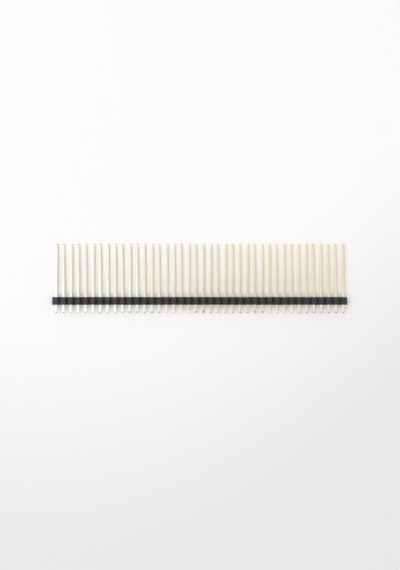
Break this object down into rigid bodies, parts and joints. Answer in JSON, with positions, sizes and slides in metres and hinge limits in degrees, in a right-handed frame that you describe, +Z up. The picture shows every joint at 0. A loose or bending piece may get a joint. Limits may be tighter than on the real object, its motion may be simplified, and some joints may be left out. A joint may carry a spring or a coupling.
{
  "type": "pin header strip",
  "caption": "Straight single-row pin header strip with extra-long square pins, snap-apart black insulator cells and short solder tails, lying on its side.",
  "frame": {"origin": "centre of the whole strip's outline, on the surface it lies on", "axes": "+X along the row of pins, +Y the way the long mating ends point, +Z up from the surface it lies on"},
  "size_m": [0.1016, 0.024, 0.0026],
  "materials": {
    "insulator_black": "black glass-filled moulded plastic with a faint satin sheen",
    "pin_plating": "thin bright pale-gold flash plating on square brass wire"
  },
  "bodies": {
    "root": {"insulator": "insulator_black", "pin_01": "pin_plating", "pin_02": "pin_plating", "pin_03": "pin_plating", "pin_04": "pin_plating", "pin_05": "pin_plating", "pin_06": "pin_plating", "pin_07": "pin_plating", "pin_08": "pin_plating", "pin_09": "pin_plating", "pin_10": "pin_plating", "pin_11": "pin_plating", "pin_12": "pin_plating", "pin_13": "pin_plating", "pin_14": "pin_plating", "pin_15": "pin_plating", "pin_16": "pin_plating", "pin_17": "pin_plating", "pin_18": "pin_plating", "pin_19": "pin_plating", "pin_20": "pin_plating", "pin_21": "pin_plating", "pin_22": "pin_plating", "pin_23": "pin_plating", "pin_24": "pin_plating", "pin_25": "pin_plating", "pin_26": "pin_plating", "pin_27": "pin_plating", "pin_28": "pin_plating", "pin_29": "pin_plating", "pin_30": "pin_plating", "pin_31": "pin_plating", "pin_32": "pin_plating", "pin_33": "pin_plating", "pin_34": "pin_plating", "pin_35": "pin_plating", "pin_36": "pin_plating", "pin_37": "pin_plating", "pin_38": "pin_plating", "pin_39": "pin_plating", "pin_40": "pin_plating"}
  },
  "joints": []
}
